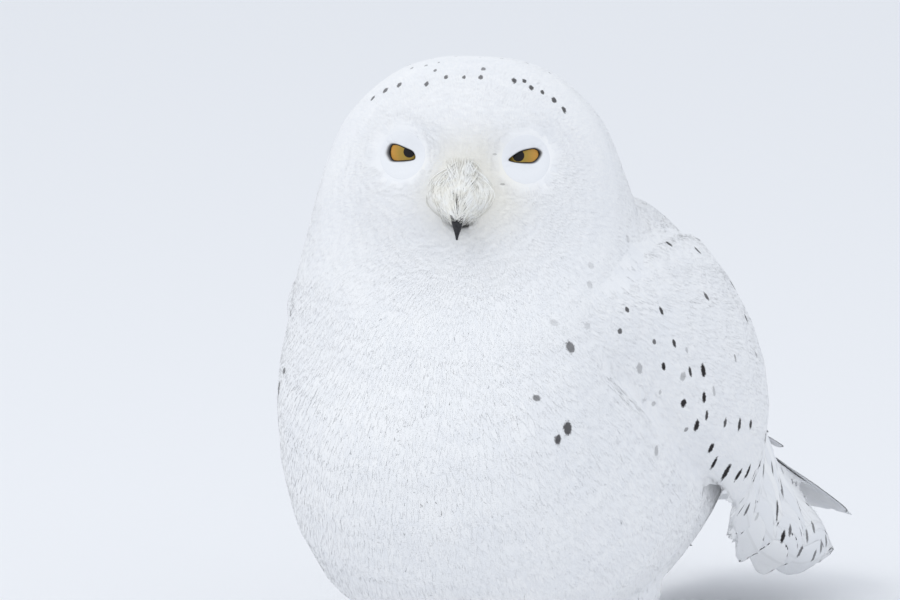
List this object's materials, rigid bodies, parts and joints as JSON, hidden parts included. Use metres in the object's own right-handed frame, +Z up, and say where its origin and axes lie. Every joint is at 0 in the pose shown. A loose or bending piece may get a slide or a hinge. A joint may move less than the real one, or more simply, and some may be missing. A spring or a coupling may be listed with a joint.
{
  "type": "snowy owl",
  "caption": "Life-size still model of an adult male snowy owl crouched on its feathered feet, head turned to its left, wings folded along the tail.",
  "frame": {"origin": "on the floor, under the middle of the bird's length and width", "axes": "+Z up, the breast faces -Y and the tail +Y, the bird's own left is +X"},
  "size_m": [0.2306, 0.4788, 0.3331],
  "materials": {
    "plumage": "soft white contour feathers with a few dark flecks",
    "flight_feathers": "smooth white vanes with dark brown bars",
    "eye": "wet gloss, golden iris round a black pupil",
    "bill": "black horn with a soft shine",
    "claw": "polished black horn"
  },
  "bodies": {
    "root": {"head": "plumage", "neck": "plumage", "trunk": "plumage", "tail": "flight_feathers", "wing_left": "flight_feathers", "wing_right": "flight_feathers", "eye_left": "eye", "eye_right": "eye", "beak_upper": "bill", "beak_lower": "bill", "leg_left": "plumage", "leg_right": "plumage", "foot_left": "plumage", "foot_right": "plumage", "claw_left_inner": "claw", "claw_left_middle": "claw", "claw_left_outer": "claw", "claw_left_hind": "claw", "claw_right_inner": "claw", "claw_right_middle": "claw", "claw_right_outer": "claw", "claw_right_hind": "claw"}
  },
  "joints": []
}
